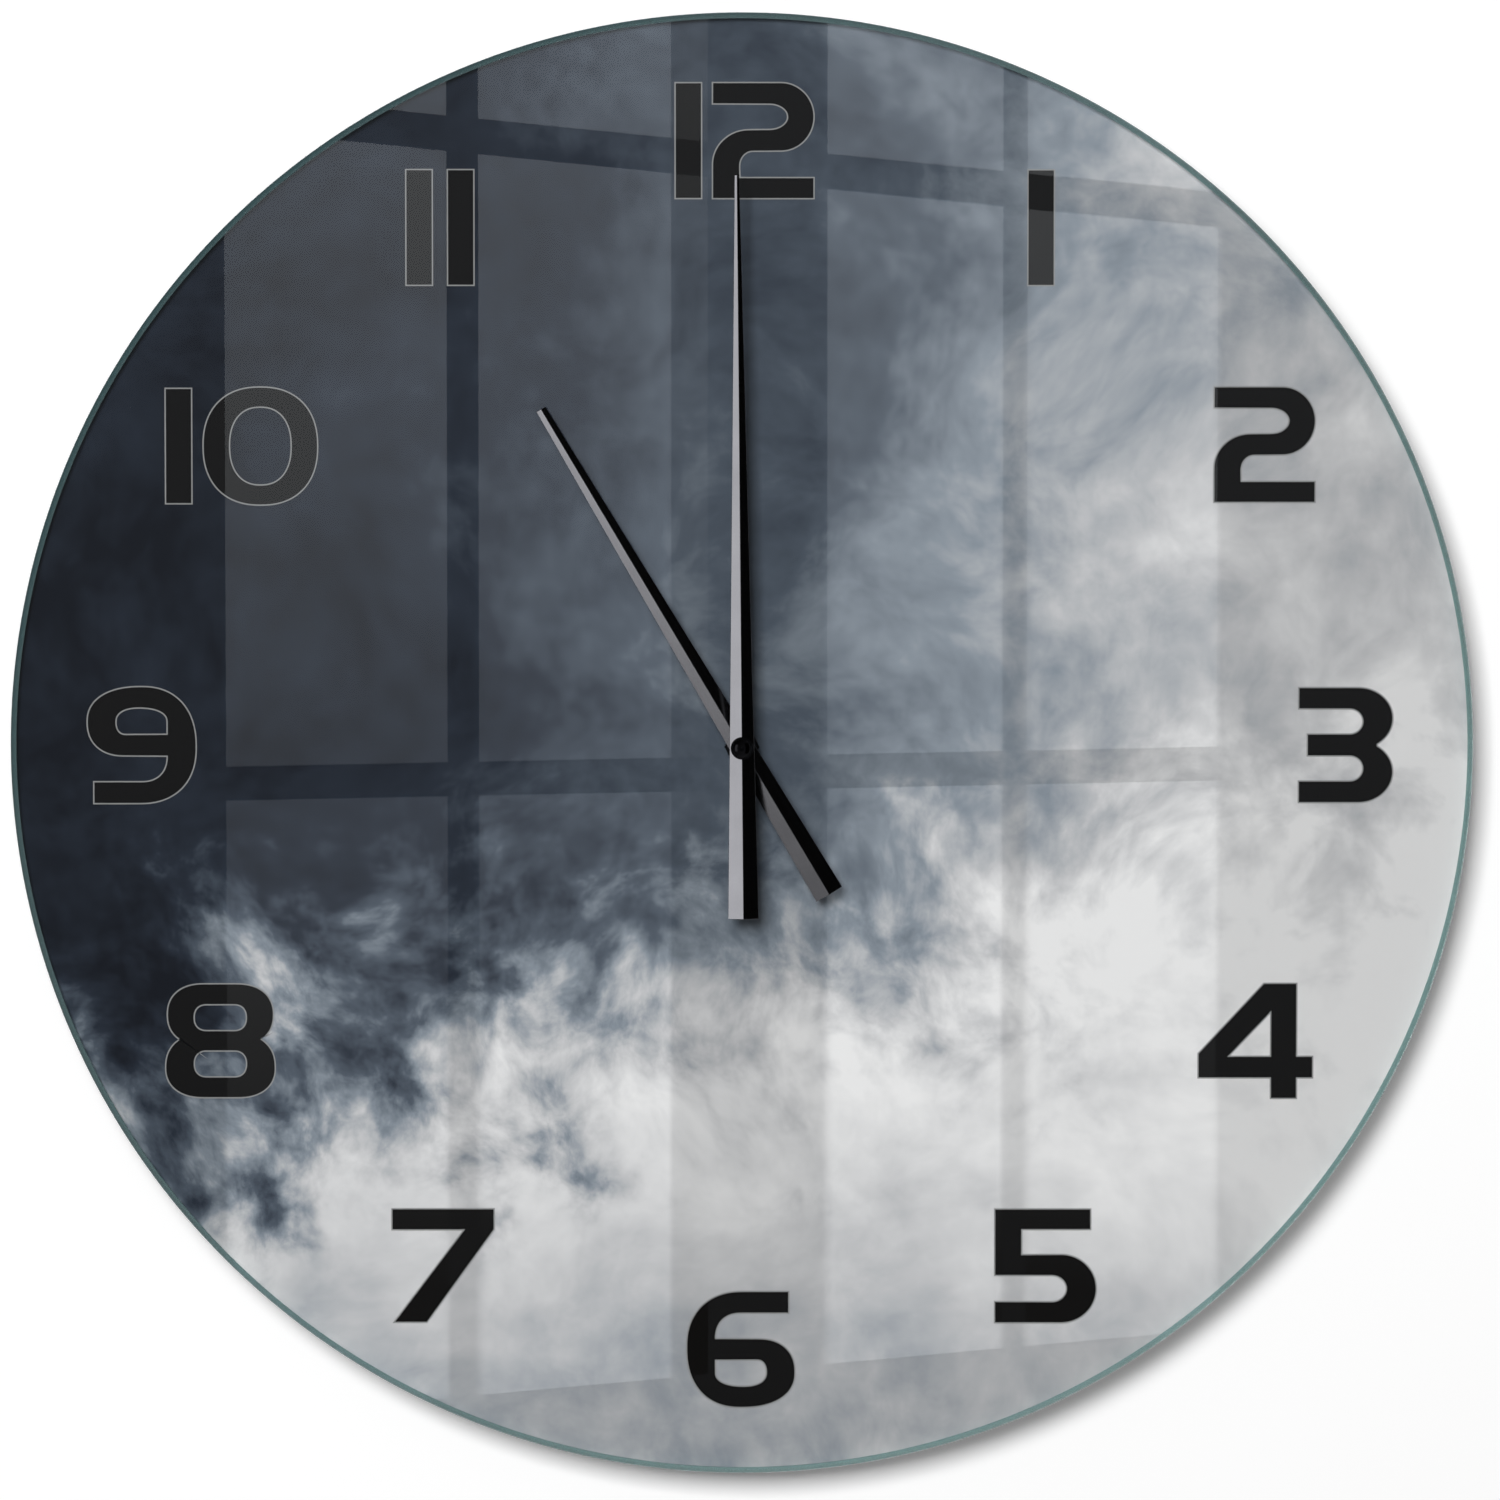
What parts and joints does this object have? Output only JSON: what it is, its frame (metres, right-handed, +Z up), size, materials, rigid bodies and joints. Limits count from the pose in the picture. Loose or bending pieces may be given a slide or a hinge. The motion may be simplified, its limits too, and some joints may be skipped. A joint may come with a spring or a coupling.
{
  "type": "wall clock",
  "caption": "Round frameless glass wall clock with a printed back, long ridged hands and a quartz movement hung on a keyhole plate.",
  "frame": {"origin": "middle of the flat seat at the top of the hanger plate's keyhole slot, where the wall screw's shank carries the clock", "axes": "+Z up, the dial faces -Y and the wall is behind the clock on the +Y side, +X to the right as seen from the front"},
  "size_m": [0.6, 0.0426, 0.6],
  "materials": {
    "glass": "polished",
    "printed_film": "satin",
    "rubber": "matte",
    "zinc_steel": "satin",
    "brass": "satin",
    "vulcan_fibre": "matte",
    "black_nickel": "satin",
    "black_plastic": "matte",
    "grey_plastic": "matte",
    "acetal": "satin",
    "cell_sleeve": "satin",
    "spring_steel": "satin",
    "board": "matte",
    "silicon_iron": "satin",
    "copper": "satin",
    "magnet": "matte",
    "hand_black": "satin"
  },
  "bodies": {
    "dial": {"glass_disc": "glass", "print_film": "printed_film", "wall_spacer_1": "rubber", "wall_spacer_2": "rubber", "wall_spacer_3": "rubber", "wall_spacer_4": "rubber", "hanger_plate": "zinc_steel", "threaded_bushing": "brass", "rubber_gasket": "rubber", "fibre_washer": "vulcan_fibre", "metal_washer": "black_nickel", "fixing_nut": "black_nickel", "front_case": "black_plastic", "rear_cover": "black_plastic", "train_plate": "grey_plastic", "battery_cell": "cell_sleeve", "contact_negative": "spring_steel", "contact_positive": "spring_steel", "circuit_board": "board", "quartz_crystal": "spring_steel", "stator": "silicon_iron", "coil_bobbin": "grey_plastic", "coil_winding": "copper", "coil_core": "silicon_iron"},
    "minute_hand": {"minute_hand": "hand_black", "minute_collet": "brass", "cap_nut": "black_nickel", "minute_wheel": "brass"},
    "hour_hand": {"hour_hand": "hand_black", "hour_collet": "brass", "hour_wheel": "brass"},
    "motion_wheel": {"motion_wheel": "acetal"},
    "setting_knob": {"setting_knob": "acetal"},
    "third_wheel": {"third_wheel": "acetal"},
    "seconds_wheel": {"seconds_wheel": "acetal"},
    "intermediate_wheel": {"intermediate_wheel": "acetal"},
    "rotor": {"rotor_pinion": "acetal", "rotor_magnet": "magnet"}
  },
  "joints": [
    {"name": "minute_turn", "type": "hinge", "parent": "dial", "child": "minute_hand", "pos_m": [0, 0, -0.05223], "axis": [0, 1, 0], "continuous": true},
    {"name": "hour_turn", "type": "hinge", "parent": "dial", "child": "hour_hand", "pos_m": [0, 0, -0.05223], "axis": [0, 1, 0], "continuous": true},
    {"name": "motion_turn", "type": "hinge", "parent": "dial", "child": "motion_wheel", "pos_m": [0.00789, 0, -0.0551], "axis": [0, 1, 0], "continuous": true},
    {"name": "knob_turn", "type": "hinge", "parent": "dial", "child": "setting_knob", "pos_m": [0.01579, 0, -0.05223], "axis": [0, 1, 0], "continuous": true},
    {"name": "third_turn", "type": "hinge", "parent": "dial", "child": "third_wheel", "pos_m": [-0.00966, 0, -0.04964], "axis": [0, 1, 0], "continuous": true},
    {"name": "seconds_turn", "type": "hinge", "parent": "dial", "child": "seconds_wheel", "pos_m": [0, 0, -0.05223], "axis": [0, 1, 0], "continuous": true},
    {"name": "intermediate_turn", "type": "hinge", "parent": "dial", "child": "intermediate_wheel", "pos_m": [0.00652, 0, -0.04445], "axis": [0, 1, 0], "continuous": true},
    {"name": "rotor_turn", "type": "hinge", "parent": "dial", "child": "rotor", "pos_m": [0.00878, 0, -0.03825], "axis": [0, 1, 0], "continuous": true}
  ],
  "couplings": [
    {"joint": "hour_turn", "follows": "minute_turn", "ratio": 0.083333},
    {"joint": "motion_turn", "follows": "minute_turn", "ratio": -0.33333},
    {"joint": "knob_turn", "follows": "minute_turn", "ratio": 1},
    {"joint": "third_turn", "follows": "minute_turn", "ratio": -8},
    {"joint": "seconds_turn", "follows": "minute_turn", "ratio": 60},
    {"joint": "intermediate_turn", "follows": "minute_turn", "ratio": -360},
    {"joint": "rotor_turn", "follows": "minute_turn", "ratio": 1800}
  ]
}
